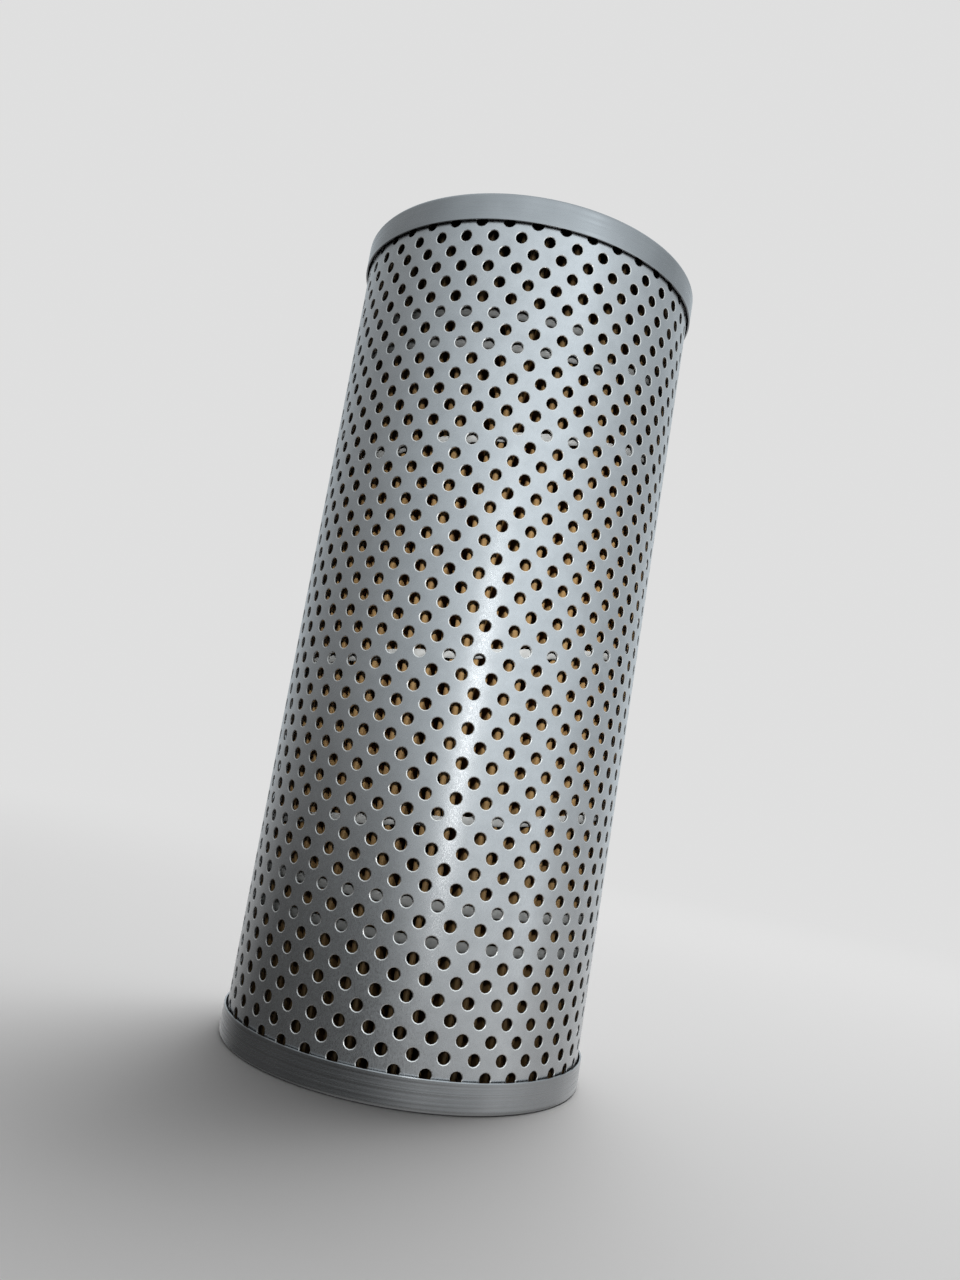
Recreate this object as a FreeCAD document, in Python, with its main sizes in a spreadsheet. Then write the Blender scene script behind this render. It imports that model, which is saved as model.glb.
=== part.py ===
import FreeCAD, Part
import math
import os
import Sketcher

# A return line filter element for a hydraulic tank, standing on its bottom end cap.
# Frame: +Z up along the axis, origin at the centre of the bottom face, seams at +Y.

doc = FreeCAD.newDocument("filter_element")
sheet = doc.addObject("Spreadsheet::Sheet", "sizes")

# Driving dimensions in millimetres, and counts
SIZES = {
    # Whole element and its pressed end caps
    "element_length": 298.0,
    "cap_diameter": 130.0,
    "cap_sheet": 0.6,
    "cap_bend": 1.0,
    "skirt_height": 10.0,
    "neck_height": 9.0,
    # Moulded seal in each neck
    "seal_bore": 70.0,
    "seal_wall": 5.0,
    "seal_inset": 0.2,
    "seal_lead": 2.0,
    "seal_hook": 1.5,
    # Outer perforated tube and its welded lap seam
    "tube_sheet": 0.6,
    "seam_lap": 5.0,
    "hole_diameter": 4.1,
    "holes_per_row": 11,
    "hole_row_pitch": 27.75,
    "hole_margin": 20.0,
    # Inner perforated tube
    "core_sheet": 0.8,
    "core_hole_diameter": 8.0,
    "core_holes_per_row": 6,
    "core_hole_row_pitch": 50.0,
    "core_hole_margin": 40.0,
    # Pleated paper and the clip on its two ends
    "pleat_count": 101,
    "paper_thickness": 0.7,
    "crest_width": 2.0,
    "crest_rounding": 0.35,
    "valley_width": 1.9,
    "clip_sheet": 0.4,
    "clip_depth": 8.0,
    # Adhesive cast in the caps, and the thread of adhesive round the pleats
    "potting_height": 6.0,
    "bead_width": 3.0,
    "bead_outer_width": 1.6,
    "bead_height": 1.2,
    "bead_low_turn": 49.1,
    "bead_high_turn": 42.3,
    "bead_turn_gap": 11.3,
    "bead_steps_per_turn": 36,
    # Clearances
    "lap_clearance": 0.05,
    "neck_clearance": 0.6,
    "pleat_clearance": 0.3,
    "bead_clearance": 0.15,
    "crest_clearance": 0.05,
    "clip_clearance": 0.05,
}

for row, (alias, value) in enumerate(SIZES.items(), start=1):
    sheet.set(f"A{row}", alias)
    sheet.set(f"B{row}", str(value))
    sheet.setAlias(f"B{row}", alias)
doc.recompute()

# Radii and heights that several pieces share, as expressions on the sheet.
# Heights are measured from the outer face of the cap at that end.
CAP_R = "sizes.cap_diameter / 2"
SKIRT_BORE_R = f"({CAP_R} - sizes.cap_sheet)"
TUBE_R = f"({SKIRT_BORE_R} - sizes.tube_sheet - sizes.lap_clearance)"
TUBE_BORE_R = f"({TUBE_R} - sizes.tube_sheet)"
SEAL_R = "sizes.seal_bore / 2"
NECK_BORE_R = f"({SEAL_R} + sizes.seal_wall)"
NECK_R = f"({NECK_BORE_R} + sizes.cap_sheet)"
CORE_BORE_R = f"({NECK_R} + sizes.neck_clearance)"
CORE_R = f"({CORE_BORE_R} + sizes.core_sheet)"
BEAD_R = f"({TUBE_BORE_R} - sizes.bead_clearance)"
BEAD_BORE_R = f"({BEAD_R} - sizes.bead_height)"
CREST_R = f"({BEAD_BORE_R} * cos(180 deg / sizes.bead_steps_per_turn) - sizes.crest_clearance)"
VALLEY_R = f"({CORE_R} + sizes.pleat_clearance)"
TUBE_LENGTH = "(sizes.element_length - 2 * sizes.cap_sheet)"
PAPER_LENGTH = "(sizes.element_length - 2 * sizes.potting_height)"

# Sides of each punched hole, few because the holes repeat
HOLE_SIDES = 8

# The thread's route: turns from the front, and the share of the climb between the close turns
CLIMB_STATIONS = [(1.53, 0.0), (2.0, 0.14), (3.0, 0.43), (4.0, 0.83), (4.47, 1.0)]
LOW_TURN_ENDS = (-0.5, 0.44, 0.60)
HIGH_TURN_ENDS = (5.05, 5.21, 6.06)


def number(expression):
    """The value of an expression on the sheet."""
    return float(sheet.evalExpression(expression))


def origin_part(body, role):
    """A base plane or base axis of a body."""
    return next(f for f in body.Origin.OriginFeatures if f.Role == role)


def new_body(name):
    """An empty body whose label names its file."""
    body = doc.addObject("PartDesign::Body", name)
    body.Label = name
    return body


def new_sketch(body, name, role="XZ_Plane", turned="0"):
    """A sketch on a base plane, which may be turned about the axis by an angle in degrees."""
    sketch = body.newObject("Sketcher::SketchObject", name)
    sketch.AttachmentSupport = [(origin_part(body, role), "")]
    sketch.MapMode = "FlatFace"
    if turned != "0":
        about_axis = FreeCAD.Rotation(FreeCAD.Vector(0, 1, 0), 1)
        sketch.AttachmentOffset = FreeCAD.Placement(FreeCAD.Vector(), about_axis)
        sketch.setExpression("AttachmentOffset.Rotation.Angle", turned)
    doc.recompute()
    return sketch


def pin_point(sketch, line, place):
    """Holds the start of a line at a place given by two expressions."""
    for kind, base_axis, expression in (("DistanceX", -2, place[0]), ("DistanceY", -1, place[1])):
        distance = number(expression)
        if abs(distance) < 1e-9:
            sketch.addConstraint(Sketcher.Constraint("PointOnObject", line, 1, base_axis))
        else:
            held = sketch.addConstraint(Sketcher.Constraint(kind, -1, 1, line, 1, distance))
            sketch.setExpression(f"Constraints[{held}]", expression)


def draw_outline(sketch, corners):
    """A closed outline of straight lines through corners given as pairs of expressions."""
    points = [FreeCAD.Vector(number(across), number(up), 0) for across, up in corners]
    count = len(points)
    for n in range(count):
        sketch.addGeometry(Part.LineSegment(points[n], points[(n + 1) % count]))
    for n in range(count):
        sketch.addConstraint(Sketcher.Constraint("Coincident", n, 2, (n + 1) % count, 1))
    for n in range(count):
        pin_point(sketch, n, corners[n])


def revolve(body, name, corners):
    """Turns an outline of radius and height about the axis."""
    sketch = new_sketch(body, name + "_outline")
    draw_outline(sketch, corners)
    turned = body.newObject("PartDesign::Revolution", name)
    turned.Profile = sketch
    turned.ReferenceAxis = (sketch, ["V_Axis"])
    turned.Angle = 360
    doc.recompute()


def place_at_end(body, end):
    """Leaves a piece that is drawn for the bottom end there, or turns it over for the top."""
    if end == "top":
        turned_over = FreeCAD.Rotation(FreeCAD.Vector(1, 0, 0), 180)
        body.Placement = FreeCAD.Placement(FreeCAD.Vector(), turned_over)
        body.setExpression("Placement.Base.z", "sizes.element_length")


def make_end_cap(end):
    """Pressed sheet cup: a skirt round the tube, a flat ring and a neck drawn inwards."""
    body = new_body(end + "_end_cap")
    revolve(body, end + "_cap_pressing", [
        (CAP_R, "sizes.skirt_height"),
        (CAP_R, "sizes.cap_bend"),
        (f"{CAP_R} - sizes.cap_bend * 0.3", "sizes.cap_bend * 0.3"),
        (f"{CAP_R} - sizes.cap_bend", "0"),
        (f"{NECK_BORE_R} + sizes.cap_bend / 2", "0"),
        (NECK_BORE_R, "sizes.cap_bend / 2"),
        (NECK_BORE_R, "sizes.neck_height"),
        (NECK_R, "sizes.neck_height"),
        (NECK_R, "sizes.cap_sheet"),
        (SKIRT_BORE_R, "sizes.cap_sheet"),
        (SKIRT_BORE_R, "sizes.skirt_height"),
    ])
    place_at_end(body, end)
    return body


def make_seal(end):
    """Moulded ring in the neck, hooked over the neck's edge, with a tapered mouth."""
    body = new_body(end + "_seal")
    hook_top = "sizes.neck_height + sizes.seal_hook"
    revolve(body, end + "_seal_ring", [
        (f"{SEAL_R} + sizes.seal_lead", "sizes.seal_inset"),
        (NECK_BORE_R, "sizes.seal_inset"),
        (NECK_BORE_R, "sizes.neck_height"),
        (NECK_R, "sizes.neck_height"),
        (NECK_R, hook_top),
        (SEAL_R, hook_top),
        (SEAL_R, "sizes.seal_inset + sizes.seal_lead"),
    ])
    place_at_end(body, end)
    return body


def make_potting(end):
    """Adhesive cast in the cap between the two tubes."""
    body = new_body(end + "_potting")
    revolve(body, end + "_potting_cast", [
        (CORE_R, "sizes.cap_sheet"),
        (TUBE_BORE_R, "sizes.cap_sheet"),
        (TUBE_BORE_R, "sizes.potting_height"),
        (CORE_R, "sizes.potting_height"),
    ])
    place_at_end(body, end)
    return body


def add_cylinder(body, kind, name, radius):
    """A cylinder as long as the tubes, added to or cut from a body."""
    cylinder = body.newObject(f"PartDesign::{kind}Cylinder", name)
    cylinder.AttachmentSupport = [(origin_part(body, "XY_Plane"), "")]
    cylinder.MapMode = "FlatFace"
    cylinder.setExpression("Radius", radius)
    cylinder.setExpression("Height", TUBE_LENGTH)
    cylinder.setExpression("AttachmentOffset.Base.z", "sizes.cap_sheet")
    return cylinder


def punch_rows(body, name, hole, turned, first_height, pairs):
    """Punches one hole, repeats it up every second row and then round the tube."""
    sketch = new_sketch(body, name + "_hole", turned=turned)
    corners = []
    for n in range(HOLE_SIDES):
        angle = f"{(n + 0.5) * 360 / HOLE_SIDES} deg"
        across = f"sizes.{hole}_diameter / 2 * cos({angle})"
        corners.append((across, f"{first_height} + sizes.{hole}_diameter / 2 * sin({angle})"))
    draw_outline(sketch, corners)
    punch = body.newObject("PartDesign::Pocket", name + "_punch")
    punch.Profile = sketch
    punch.Type = "ThroughAll"
    punch.Reversed = True
    doc.recompute()
    pattern = body.newObject("PartDesign::MultiTransform", name + "_pattern")
    pattern.Originals = [punch]
    rows = body.newObject("PartDesign::LinearPattern", name + "_rows")
    rows.Direction = (origin_part(body, "Z_Axis"), [""])
    rows.setExpression("Length", f"2 * sizes.{hole}_row_pitch * ({pairs} - 1)")
    rows.setExpression("Occurrences", pairs)
    ring = body.newObject("PartDesign::PolarPattern", name + "_ring")
    ring.Axis = (origin_part(body, "Z_Axis"), [""])
    ring.Angle = 360
    ring.setExpression("Occurrences", f"sizes.{hole}s_per_row")
    pattern.Transformations = [rows, ring]
    body.Tip = pattern
    doc.recompute()


def perforate(body, hole):
    """Staggered rows of holes, none of them on the seam."""
    pitch = f"sizes.{hole}_row_pitch"
    room = f"(sizes.element_length - 2 * sizes.{hole}_margin + {pitch})"
    pairs = f"floor({room} / (2 * {pitch}))"
    low = f"sizes.element_length / 2 - {pitch} * ({pairs} - 0.5)"
    quarter_step = f"90 / sizes.{hole}s_per_row"
    punch_rows(body, body.Label + "_even", hole, quarter_step, low, pairs)
    punch_rows(body, body.Label + "_odd", hole, f"-{quarter_step}", f"{low} + {pitch}", pairs)


def make_outer_tube():
    """Rolled perforated sheet with a welded lap seam down its back."""
    body = new_body("outer_tube")
    add_cylinder(body, "Additive", "tube_outside", TUBE_R)
    lap = add_cylinder(body, "Additive", "tube_lap", f"{TUBE_R} + sizes.tube_sheet")
    lap_angle = f"sizes.seam_lap / {TUBE_R} * 180 / pi"
    lap.setExpression("Angle", lap_angle)
    lap.setExpression("AttachmentOffset.Rotation.Angle", f"90 - {lap_angle} / 2")
    add_cylinder(body, "Subtractive", "tube_inside", TUBE_BORE_R)
    doc.recompute()
    perforate(body, "hole")
    return body


def make_inner_tube():
    """Inner perforated tube that keeps the pleats from collapsing inwards."""
    body = new_body("inner_tube")
    add_cylinder(body, "Additive", "core_outside", CORE_R)
    add_cylinder(body, "Subtractive", "core_inside", CORE_BORE_R)
    doc.recompute()
    perforate(body, "core_hole")
    return body


def add_feature(name, shape, height):
    """A piece whose outline is worked out here, raised to its height."""
    feature = doc.addObject("Part::Feature", name)
    feature.Label = name
    feature.Shape = shape
    feature.Placement = FreeCAD.Placement(FreeCAD.Vector(0, 0, height), FreeCAD.Rotation())
    return feature


def beside_fold(angle, across, radius):
    """A point beside the centre line of a fold, which stands at an angle from the seam."""
    x = across * math.cos(angle) - radius * math.sin(angle)
    y = across * math.sin(angle) + radius * math.cos(angle)
    return FreeCAD.Vector(x, y, 0)


def paper_side(end, crest, valley):
    """One side of the folded strip, from its first end round to its last."""
    pleats = int(number("sizes.pleat_count"))
    step = 2 * math.pi / pleats
    points = [beside_fold(0, -across, radius) for across, radius in end]
    for n in range(pleats):
        folds = [(n + 0.5, valley)]
        if n < pleats - 1:
            folds.append((n + 1, crest))
        for turn, half in folds:
            points += [beside_fold(turn * step, across, radius) for across, radius in half]
            points += [beside_fold(turn * step, -across, radius) for across, radius in half[::-1]]
    points += [beside_fold(0, across, radius) for across, radius in end[::-1]]
    return points


def make_pleated_paper():
    """One strip of paper folded into pleats, its two ends side by side at the seam."""
    paper = number("sizes.paper_thickness")
    rounding = number("sizes.crest_rounding")
    crest_half = number("sizes.crest_width") / 2
    valley_half = number("sizes.valley_width") / 2
    crest_r = number(CREST_R)
    valley_r = number(VALLEY_R)
    gap = number("sizes.clip_clearance")
    end_r = crest_r - number("sizes.clip_sheet") - gap
    spread_r = end_r - number("sizes.clip_depth")
    outer_crest = [(crest_half, crest_r - rounding), (crest_half - rounding, crest_r)]
    inner_crest = [(crest_half - paper, crest_r - paper)]
    outer_valley = [(valley_half - paper, valley_r + paper)]
    inner_valley = [(valley_half, valley_r)]
    outer_end = [(gap + paper, end_r), (gap + paper, spread_r)]
    inner_end = [(gap, end_r), (gap, spread_r)]
    outline = paper_side(outer_end, outer_crest, outer_valley)
    outline += paper_side(inner_end, inner_crest, inner_valley)[::-1]
    face = Part.Face(Part.makePolygon(outline + outline[:1]))
    strip = face.extrude(FreeCAD.Vector(0, 0, number(PAPER_LENGTH)))
    return add_feature("pleated_paper", strip, number("sizes.potting_height"))


def make_pleat_clip():
    """Folded strip of sheet that pinches the two ends of the paper together."""
    body = new_body("pleat_clip")
    sketch = new_sketch(body, "clip_section", role="XY_Plane")
    foot = f"{CREST_R} - sizes.clip_sheet - sizes.clip_depth"
    inner = "(2 * sizes.clip_clearance + sizes.paper_thickness)"
    outer = f"({inner} + sizes.clip_sheet)"
    draw_outline(sketch, [
        (f"-{outer}", foot),
        (f"-{outer}", CREST_R),
        (outer, CREST_R),
        (outer, foot),
        (inner, foot),
        (inner, f"{CREST_R} - sizes.clip_sheet"),
        (f"-{inner}", f"{CREST_R} - sizes.clip_sheet"),
        (f"-{inner}", foot),
    ])
    sketch.setExpression("AttachmentOffset.Base.z", "sizes.potting_height")
    pad = body.newObject("PartDesign::Pad", "clip_strip")
    pad.Profile = sketch
    pad.setExpression("Length", PAPER_LENGTH)
    doc.recompute()
    return body


def bead_height_at(turn):
    """Height of the thread above its lowest turn, after a number of turns from the front."""
    gap = number("sizes.bead_turn_gap")
    rise = number("sizes.element_length - sizes.bead_high_turn - sizes.bead_low_turn")
    stations = [(LOW_TURN_ENDS[0], 0.0), (LOW_TURN_ENDS[1], 0.0), (LOW_TURN_ENDS[2], gap)]
    stations += [(t, gap + share * (rise - 2 * gap)) for t, share in CLIMB_STATIONS]
    stations += [(HIGH_TURN_ENDS[0], rise - gap), (HIGH_TURN_ENDS[1], rise), (HIGH_TURN_ENDS[2], rise)]
    for (t0, h0), (t1, h1) in zip(stations, stations[1:]):
        if turn <= t1:
            return h0 + (h1 - h0) * (turn - t0) / (t1 - t0)
    return rise


def make_adhesive_bead():
    """One thread of adhesive round the crests: two close turns at each end, an open climb between."""
    steps_per_turn = int(number("sizes.bead_steps_per_turn"))
    inner_half = number("sizes.bead_width") / 2
    outer_half = number("sizes.bead_outer_width") / 2
    bore_r = number(BEAD_BORE_R)
    outer_r = number(BEAD_R)
    section = [(bore_r, -inner_half), (outer_r, -outer_half), (outer_r, outer_half), (bore_r, inner_half)]
    first = LOW_TURN_ENDS[0]
    count = round((HIGH_TURN_ENDS[2] - first) * steps_per_turn)
    sections = []
    for n in range(count + 1):
        turn = first + n / steps_per_turn
        front = 2 * math.pi * turn
        height = bead_height_at(turn)
        ring = [FreeCAD.Vector(r * math.sin(front), -r * math.cos(front), height + z) for r, z in section]
        sections.append(Part.makePolygon(ring + ring[:1]))
    thread = Part.makeLoft(sections, True, True)
    return add_feature("adhesive_bead", thread, number("sizes.bead_low_turn"))


def write_parts(pieces):
    """Checks every object and every piece, then writes one file for each piece."""
    doc.recompute()
    for item in doc.Objects:
        if "Invalid" in item.State or "Error" in item.State:
            raise RuntimeError(f"{item.Name} failed: {item.State}")
    for piece in pieces:
        if piece.Shape.isNull() or not piece.Shape.isValid():
            raise RuntimeError(f"{piece.Label} has no valid shape")
    os.makedirs("parts", exist_ok=True)
    for piece in pieces:
        piece.Shape.exportStep(f"parts/{piece.Label}.step")
        volume = piece.Shape.Volume / 1000
        print(f"{piece.Label:16} {len(piece.Shape.Solids)} solid of {volume:7.2f} cm3")


pieces = [make_outer_tube(), make_inner_tube(), make_pleated_paper(), make_pleat_clip()]
pieces.append(make_adhesive_bead())
for end in ("bottom", "top"):
    pieces += [make_end_cap(end), make_seal(end), make_potting(end)]
write_parts(pieces)
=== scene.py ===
# %% [markdown]
# A hydraulic return line filter element, built around its CAD model.
# The real one is a paper pleat pack between two perforated steel tubes, closed by two
# pressed end caps. The CAD model gives every main size, so it is loaded first and stays
# fixed. The looks are then built on top of it, one piece after another: the two tubes, the
# paper and its thread, the caps and their seals.

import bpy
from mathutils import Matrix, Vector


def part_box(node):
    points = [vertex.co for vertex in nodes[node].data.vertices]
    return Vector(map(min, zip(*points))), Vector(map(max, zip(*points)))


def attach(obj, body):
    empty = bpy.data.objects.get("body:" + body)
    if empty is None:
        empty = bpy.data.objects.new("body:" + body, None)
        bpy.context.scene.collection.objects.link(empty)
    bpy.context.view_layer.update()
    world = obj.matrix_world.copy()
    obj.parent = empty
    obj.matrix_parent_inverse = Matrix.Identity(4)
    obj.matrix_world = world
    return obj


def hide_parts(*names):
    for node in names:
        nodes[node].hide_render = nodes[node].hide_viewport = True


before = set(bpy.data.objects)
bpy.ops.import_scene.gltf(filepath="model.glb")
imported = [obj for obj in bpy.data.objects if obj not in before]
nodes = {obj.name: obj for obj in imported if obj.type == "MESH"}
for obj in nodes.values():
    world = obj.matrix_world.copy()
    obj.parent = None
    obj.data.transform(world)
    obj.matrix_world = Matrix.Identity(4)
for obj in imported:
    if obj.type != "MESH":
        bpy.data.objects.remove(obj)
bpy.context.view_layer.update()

# %% [markdown]
# The sizes that the new pieces need are read off the loaded nodes, so that a piece fits
# whatever the CAD model says. Only what the CAD model doesn't hold, such as the closely
# spaced holes of the real tube, is given here as numbers.

# %% Read the shared sizes
import math

import bmesh
import bpy
from mathutils import Matrix, Vector

MM = 0.001
TOUCHING = 0.01 * MM


def node_radius(node):
    """Largest distance of a CAD node's surface from the axis."""
    return max(math.hypot(v.co.x, v.co.y) for v in nodes[node].data.vertices)


def node_bore(node):
    """Smallest distance of a CAD node's surface from the axis."""
    return min(math.hypot(v.co.x, v.co.y) for v in nodes[node].data.vertices)


ELEMENT_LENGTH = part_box("top_end_cap")[1].z
CAP_RADIUS = node_radius("bottom_end_cap")
SKIRT_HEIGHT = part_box("bottom_end_cap")[1].z
TUBE_BORE = node_bore("outer_tube")
SHEET = 0.6 * MM
TUBE_RADIUS = TUBE_BORE + SHEET
TUBE_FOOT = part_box("outer_tube")[0].z
TUBE_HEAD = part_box("outer_tube")[1].z
CORE_RADIUS = node_radius("inner_tube")
CORE_BORE = node_bore("inner_tube")
SEAL_BORE = node_bore("bottom_seal")
PAPER_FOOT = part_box("pleated_paper")[0].z
PAPER_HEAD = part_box("pleated_paper")[1].z
CREST_RADIUS = node_radius("pleated_paper")
VALLEY_RADIUS = node_bore("pleated_paper")
for label, size in (("length", ELEMENT_LENGTH), ("cap", CAP_RADIUS), ("tube", TUBE_RADIUS),
                    ("core", CORE_RADIUS), ("crests", CREST_RADIUS), ("valleys", VALLEY_RADIUS)):
    print(f"{label}: {size / MM:.2f} mm")

# %% [markdown]
# Blender's tools work on whatever is selected, and loading the CAD model leaves all of it
# selected. So each piece starts by letting go of everything. Parts of a mesh are then
# picked in code by where they are, which is what a click does by hand.

# %% Helpers that select and open pieces
def let_go():
    """Nothing is selected, and no mesh is open."""
    if bpy.context.object and bpy.context.object.mode != "OBJECT":
        bpy.ops.object.mode_set(mode="OBJECT")
    bpy.ops.object.select_all(action="DESELECT")


def open_mesh(piece):
    """Makes one piece the active one and opens its mesh for shaping."""
    let_go()
    piece.select_set(True)
    bpy.context.view_layer.objects.active = piece
    bpy.ops.object.mode_set(mode="EDIT")


def close_mesh():
    """Leaves edit mode, with the piece still selected."""
    bpy.ops.object.mode_set(mode="OBJECT")


def pick(kind, test):
    """Selects the vertices, edges or faces of the open mesh whose middle passes a test."""
    mesh = bmesh.from_edit_mesh(bpy.context.object.data)
    bpy.context.tool_settings.mesh_select_mode = tuple(kind == k for k in ("verts", "edges", "faces"))
    for item in (*mesh.verts, *mesh.edges, *mesh.faces):
        item.select = False
    count = 0
    for item in getattr(mesh, kind):
        if kind == "verts":
            middle = item.co
        else:
            middle = sum((v.co for v in item.verts), Vector()) / len(item.verts)
        if test(middle):
            item.select_set(True)
            count += 1
    bmesh.update_edit_mesh(bpy.context.object.data)
    return count


def apply_modifiers(piece):
    """Applies a piece's modifiers in their order."""
    for modifier in list(piece.modifiers):
        bpy.ops.object.modifier_apply(modifier=modifier.name)


def settle(piece, smooth_angle=40.0):
    """Puts the piece's place into its mesh and smooths it up to an angle between faces."""
    bpy.ops.object.transform_apply(location=True, rotation=True, scale=True)
    bpy.ops.object.shade_smooth_by_angle(angle=math.radians(smooth_angle))
    mesh = bmesh.new()
    mesh.from_mesh(piece.data)
    loose = sum(1 for e in mesh.edges if len(e.link_faces) != 2)
    triangles = sum(len(f.verts) - 2 for f in mesh.faces)
    volume = mesh.calc_volume(signed=True) / MM ** 3 / 1000
    mesh.free()
    print(f"{piece.name}: {triangles} triangles, {loose} open edges, {volume:.2f} cm3")
    return piece


def true_round_normals(piece):
    """On faces that lie round the axis, shading uses the exact direction to or from the axis."""
    mesh = piece.data
    directions = []
    for face in mesh.polygons:
        outward = Vector((face.center.x, face.center.y, 0)).normalized()
        facing = face.normal.dot(outward)
        for corner in face.loop_indices:
            spot = mesh.vertices[mesh.loops[corner].vertex_index].co
            if abs(facing) > 0.985:
                away = Vector((spot.x, spot.y, 0)).normalized()
                directions.append(away if facing > 0 else -away)
            else:
                directions.append(mesh.corner_normals[corner].vector.copy())
    mesh.normals_split_custom_set(directions)
    print(f"{piece.name}: exact normals on {len(mesh.polygons)} faces")


def place(piece, node):
    """The piece stands for a CAD node: it is attached to the root body, and the node is hidden."""
    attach(piece, "root")
    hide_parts(node)


# %% [markdown]
# The outer tube is rolled from punched sheet. It carries some two thousand holes in
# staggered rows, each with a rounded rim, painted bright as a burnished edge and as a
# painted highlight. It could be cut with booleans, but those are slow and leave long thin
# faces. Here one brick of sheet with its hole is modelled flat, and two bricks, half a brick
# apart, are repeated into the whole flat sheet. The sheet is then rolled up, as it is in the
# workshop.

# %% Model one brick of punched sheet
def mark_rim_for_painted_highlight(brick, radius, depth):
    """Marks the faces of the rounded rim, which the finish paints brighter: partly a burnished edge, partly
    a painted highlight.
    """
    bpy.ops.geometry.attribute_add(name="rim", domain="FACE", data_type="FLOAT")
    marks = brick.data.attributes["rim"].data
    for face in brick.data.polygons:
        on_rim = face.center.xy.length < radius and depth < face.center.z < 0
        marks[face.index].value = 1.0 if on_rim else 0.0


def punched_brick(width, height, hole_radius, rim, thickness, sides=12, edge_cuts=1):
    """A flat brick of sheet, top face at z = 0, with one hole whose upper rim is rounded over."""
    let_go()
    bpy.ops.mesh.primitive_plane_add(size=1)
    bpy.ops.object.mode_set(mode="EDIT")
    bpy.ops.transform.resize(value=(width, height, 1), center_override=(0, 0, 0))
    bpy.ops.mesh.subdivide(number_cuts=edge_cuts)
    pick("verts", lambda p: abs(p.x) < 0.49 * width and abs(p.y) < 0.49 * height)
    bpy.ops.mesh.delete(type="VERT")
    bpy.ops.mesh.primitive_circle_add(vertices=sides, radius=hole_radius + rim)
    bpy.ops.mesh.select_all(action="SELECT")
    bpy.ops.mesh.bridge_edge_loops()
    bpy.ops.mesh.select_all(action="SELECT")
    bpy.ops.mesh.duplicate_move(TRANSFORM_OT_translate={"value": (0, 0, -thickness)})
    shrink = hole_radius / (hole_radius + rim)
    pick("verts", lambda p: p.z < -0.5 * thickness and p.xy.length < hole_radius + 1.1 * rim)
    bpy.ops.transform.resize(value=(shrink, shrink, 1), center_override=(0, 0, 0))
    pick("edges", lambda p: p.z > -0.5 * thickness and p.xy.length < hole_radius + 0.99 * rim)
    bpy.ops.mesh.extrude_edges_move(TRANSFORM_OT_translate={"value": (0, 0, -0.45 * rim)})
    bpy.ops.transform.resize(value=(shrink, shrink, 1), center_override=(0, 0, 0))
    bpy.ops.mesh.extrude_edges_move(TRANSFORM_OT_translate={"value": (0, 0, 0.45 * rim - thickness)})
    bpy.ops.mesh.select_all(action="SELECT")
    bpy.ops.mesh.remove_doubles(threshold=TOUCHING)
    bpy.ops.mesh.normals_make_consistent(inside=False)
    close_mesh()
    brick = bpy.context.object
    mark_rim_for_painted_highlight(brick, hole_radius + 0.9 * rim, -0.9 * rim)
    print(f"one brick: {len(brick.data.polygons)} faces, {width / MM:.2f} x {height / MM:.2f} mm")
    return brick


HOLE_RADIUS = 2.05 * MM
HOLE_RIM = 0.27 * MM
HOLES_ROUND = 41
HOLE_ROWS = 51
ROW_STEP = 5.55 * MM
MIDDLE_ROW_HEIGHT = 143.9 * MM
ROWS_BELOW_MIDDLE = 24
HOLE_STEP = 2 * math.pi * TUBE_RADIUS / HOLES_ROUND
outer_tube = punched_brick(HOLE_STEP, ROW_STEP, HOLE_RADIUS, HOLE_RIM, SHEET)
outer_tube.name = "outer_perforated_tube"

# %% [markdown]
# An Array modifier repeats the pair of bricks along a row, and a second one repeats the
# rows. A Simple Deform modifier then bends the flat sheet round the axis. The rows step by
# half a brick, so the sheet's two ends are toothed and fit into each other when it closes:
# the bend goes half a brick past one full turn.

# %% Repeat the brick and roll the sheet
def repeat(piece, count, step):
    """Repeats the piece's mesh with its copies' touching corners merged."""
    array = piece.modifiers.new("repeat", "ARRAY")
    array.count = count
    array.use_relative_offset = False
    array.use_constant_offset = True
    array.constant_offset_displace = step
    array.use_merge_vertices = True
    array.merge_threshold = TOUCHING


def roll_sheet(sheet, radius, around, rows, row_step, first_row_height):
    """Repeats a brick into staggered rows and bends them to a tube round the z axis."""
    step = 2 * math.pi * radius / around
    open_mesh(sheet)
    bpy.ops.mesh.select_all(action="SELECT")
    bpy.ops.mesh.duplicate_move(TRANSFORM_OT_translate={"value": (step / 2, row_step, 0)})
    bpy.ops.mesh.select_all(action="SELECT")
    bpy.ops.mesh.remove_doubles(threshold=TOUCHING)
    bpy.ops.transform.translate(value=(-step * (around // 2), 0, 0))
    close_mesh()
    repeat(sheet, around, (step, 0, 0))
    repeat(sheet, (rows + 1) // 2, (0, 2 * row_step, 0))
    apply_modifiers(sheet)
    if rows % 2:
        open_mesh(sheet)
        pick("faces", lambda p: p.y > (rows - 0.5) * row_step)
        bpy.ops.mesh.delete(type="FACE")
        close_mesh()
    sheet.rotation_euler = (math.radians(90), 0, 0)
    bpy.ops.object.transform_apply(location=False, rotation=True, scale=False)
    bend = sheet.modifiers.new("roll", "SIMPLE_DEFORM")
    bend.deform_method = "BEND"
    bend.deform_axis = "Z"
    bend.angle = 2 * math.pi * (around + 0.5) / around
    apply_modifiers(sheet)
    open_mesh(sheet)
    bpy.ops.mesh.select_all(action="SELECT")
    bpy.ops.mesh.remove_doubles(threshold=TOUCHING)
    bpy.ops.transform.translate(value=(0, -radius, first_row_height))
    close_mesh()


first_row = MIDDLE_ROW_HEIGHT - ROWS_BELOW_MIDDLE * ROW_STEP
roll_sheet(outer_tube, TUBE_RADIUS, HOLES_ROUND, HOLE_ROWS, ROW_STEP, first_row)
print("rolled sheet:", [round(x / MM, 2) for x in outer_tube.dimensions], "mm")

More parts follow.
